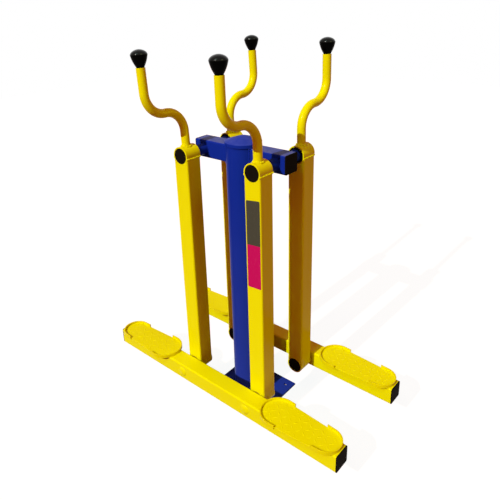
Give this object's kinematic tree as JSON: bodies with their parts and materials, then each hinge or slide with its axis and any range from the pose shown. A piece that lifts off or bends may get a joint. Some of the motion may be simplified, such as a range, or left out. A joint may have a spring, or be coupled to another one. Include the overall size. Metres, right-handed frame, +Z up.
{
  "type": "outdoor air walker",
  "caption": "Outdoor air walker: level foot beams with rimmed footplates hang from arms that swing on axles through a post's crossbar, with a bent handle and knob above each arm.",
  "frame": {"origin": "middle of the base plate's underside, on the ground", "axes": "+X along the crossbar and foot beams, +Y along the axles towards the far foot beam, +Z up"},
  "size_m": [0.984, 0.5546, 1.273],
  "materials": {
    "blue_paint": "glossy blue powder coat",
    "yellow_paint": "glossy yellow powder coat",
    "black_plastic": "moulded black plastic",
    "bare_steel": "turned steel",
    "seal_rubber": "black sealing rubber",
    "bearing_steel": "ground bearing steel"
  },
  "bodies": {
    "stand": {"base_plate": "blue_paint", "post": "blue_paint", "post_cap": "blue_paint", "crossbar": "blue_paint", "crossbar_end_caps": "black_plastic", "upper_axles": "bare_steel", "axle_collars": "blue_paint", "upper_spacers": "bare_steel", "upper_inner_rings": "bearing_steel", "upper_flange_nuts": "bare_steel"},
    "near_left_arm": {"near_left_arm_tube": "yellow_paint", "near_left_upper_hub": "yellow_paint", "near_left_lower_hub": "yellow_paint", "near_left_handle": "yellow_paint", "near_left_knob": "black_plastic", "near_left_hub_caps": "black_plastic", "near_left_dust_seals": "seal_rubber", "near_left_outer_rings": "bearing_steel"},
    "near_right_arm": {"near_right_arm_tube": "yellow_paint", "near_right_upper_hub": "yellow_paint", "near_right_lower_hub": "yellow_paint", "near_right_handle": "yellow_paint", "near_right_knob": "black_plastic", "near_right_hub_caps": "black_plastic", "near_right_dust_seals": "seal_rubber", "near_right_outer_rings": "bearing_steel"},
    "far_left_arm": {"far_left_arm_tube": "yellow_paint", "far_left_upper_hub": "yellow_paint", "far_left_lower_hub": "yellow_paint", "far_left_handle": "yellow_paint", "far_left_knob": "black_plastic", "far_left_hub_caps": "black_plastic", "far_left_dust_seals": "seal_rubber", "far_left_outer_rings": "bearing_steel"},
    "far_right_arm": {"far_right_arm_tube": "yellow_paint", "far_right_upper_hub": "yellow_paint", "far_right_lower_hub": "yellow_paint", "far_right_handle": "yellow_paint", "far_right_knob": "black_plastic", "far_right_hub_caps": "black_plastic", "far_right_dust_seals": "seal_rubber", "far_right_outer_rings": "bearing_steel"},
    "near_beam": {"near_beam_tube": "yellow_paint", "near_beam_end_caps": "black_plastic", "near_left_footplate": "yellow_paint", "near_right_footplate": "yellow_paint", "near_foot_rims": "yellow_paint", "near_lower_axles": "bare_steel", "near_lower_spacers": "bare_steel", "near_lower_inner_rings": "bearing_steel", "near_lower_flange_nuts": "bare_steel"},
    "far_beam": {"far_beam_tube": "yellow_paint", "far_beam_end_caps": "black_plastic", "far_left_footplate": "yellow_paint", "far_right_footplate": "yellow_paint", "far_foot_rims": "yellow_paint", "far_lower_axles": "bare_steel", "far_lower_spacers": "bare_steel", "far_lower_inner_rings": "bearing_steel", "far_lower_flange_nuts": "bare_steel"}
  },
  "joints": [
    {"name": "near_left_swing", "type": "hinge", "parent": "stand", "child": "near_left_arm", "pos_m": [-0.147, -0.109, 0.93], "axis": [0, 1, 0], "range_deg": [-35, 35]},
    {"name": "near_right_swing", "type": "hinge", "parent": "stand", "child": "near_right_arm", "pos_m": [0.147, -0.109, 0.93], "axis": [0, 1, 0], "range_deg": [-35, 35]},
    {"name": "near_beam_level", "type": "hinge", "parent": "near_left_arm", "child": "near_beam", "pos_m": [-0.147, -0.175, 0.132], "axis": [0, 1, 0], "range_deg": [-35, 35]},
    {"name": "far_left_swing", "type": "hinge", "parent": "stand", "child": "far_left_arm", "pos_m": [-0.147, 0.109, 0.93], "axis": [0, 1, 0], "range_deg": [-35, 35]},
    {"name": "far_right_swing", "type": "hinge", "parent": "stand", "child": "far_right_arm", "pos_m": [0.147, 0.109, 0.93], "axis": [0, 1, 0], "range_deg": [-35, 35]},
    {"name": "far_beam_level", "type": "hinge", "parent": "far_left_arm", "child": "far_beam", "pos_m": [-0.147, 0.175, 0.132], "axis": [0, 1, 0], "range_deg": [-35, 35]}
  ],
  "couplings": [
    {"joint": "near_right_swing", "follows": "near_left_swing", "ratio": 1},
    {"joint": "near_beam_level", "follows": "near_left_swing", "ratio": -1},
    {"joint": "far_right_swing", "follows": "far_left_swing", "ratio": 1},
    {"joint": "far_beam_level", "follows": "far_left_swing", "ratio": -1}
  ]
}
